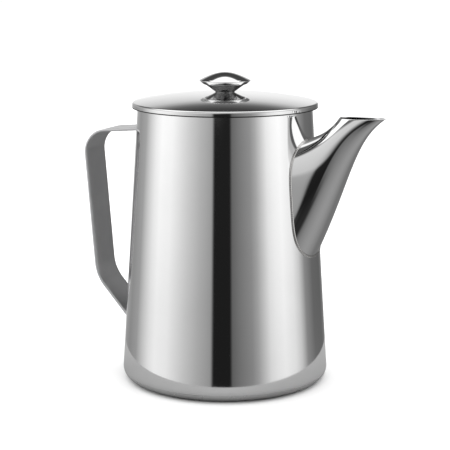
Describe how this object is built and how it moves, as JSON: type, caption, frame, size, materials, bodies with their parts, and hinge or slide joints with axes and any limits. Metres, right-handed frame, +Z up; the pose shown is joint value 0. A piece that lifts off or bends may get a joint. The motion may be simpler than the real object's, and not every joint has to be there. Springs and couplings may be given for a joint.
{
  "type": "coffee pot",
  "caption": "Tapered stainless steel coffee pot with a tubular pouring spout, a flat strap handle and a domed lift-off lid with a knob.",
  "frame": {"origin": "centre of the flat base on the pot's axis, where the pot stands on the table", "axes": "+Z up along the pot's axis, +X towards the spout's pouring tip with the handle on -X, +Y across the pot, which is symmetric about the XZ plane"},
  "size_m": [0.2024, 0.134, 0.1996],
  "materials": {
    "polished_steel": "mirror-polished stainless steel",
    "satin_steel": "satin stainless steel, brushed along the strap",
    "weld_steel": "polished weld bead",
    "plain_steel": "plain machined stainless steel"
  },
  "bodies": {
    "pot": {"pot_wall": "polished_steel", "pot_base": "polished_steel", "spout": "polished_steel", "spout_weld": "weld_steel", "handle": "satin_steel", "handle_weld_top": "weld_steel", "handle_weld_low": "weld_steel"},
    "lid": {"lid_cover": "polished_steel", "lid_ring": "polished_steel", "knob_cap": "polished_steel", "knob_cone": "polished_steel", "knob_boss": "plain_steel", "knob_screw": "plain_steel", "knob_washer": "plain_steel"}
  },
  "joints": [
    {"name": "lid_lift", "type": "slide", "parent": "pot", "child": "lid", "axis": [0, 0, 1], "range_m": [0, 0.06]}
  ]
}
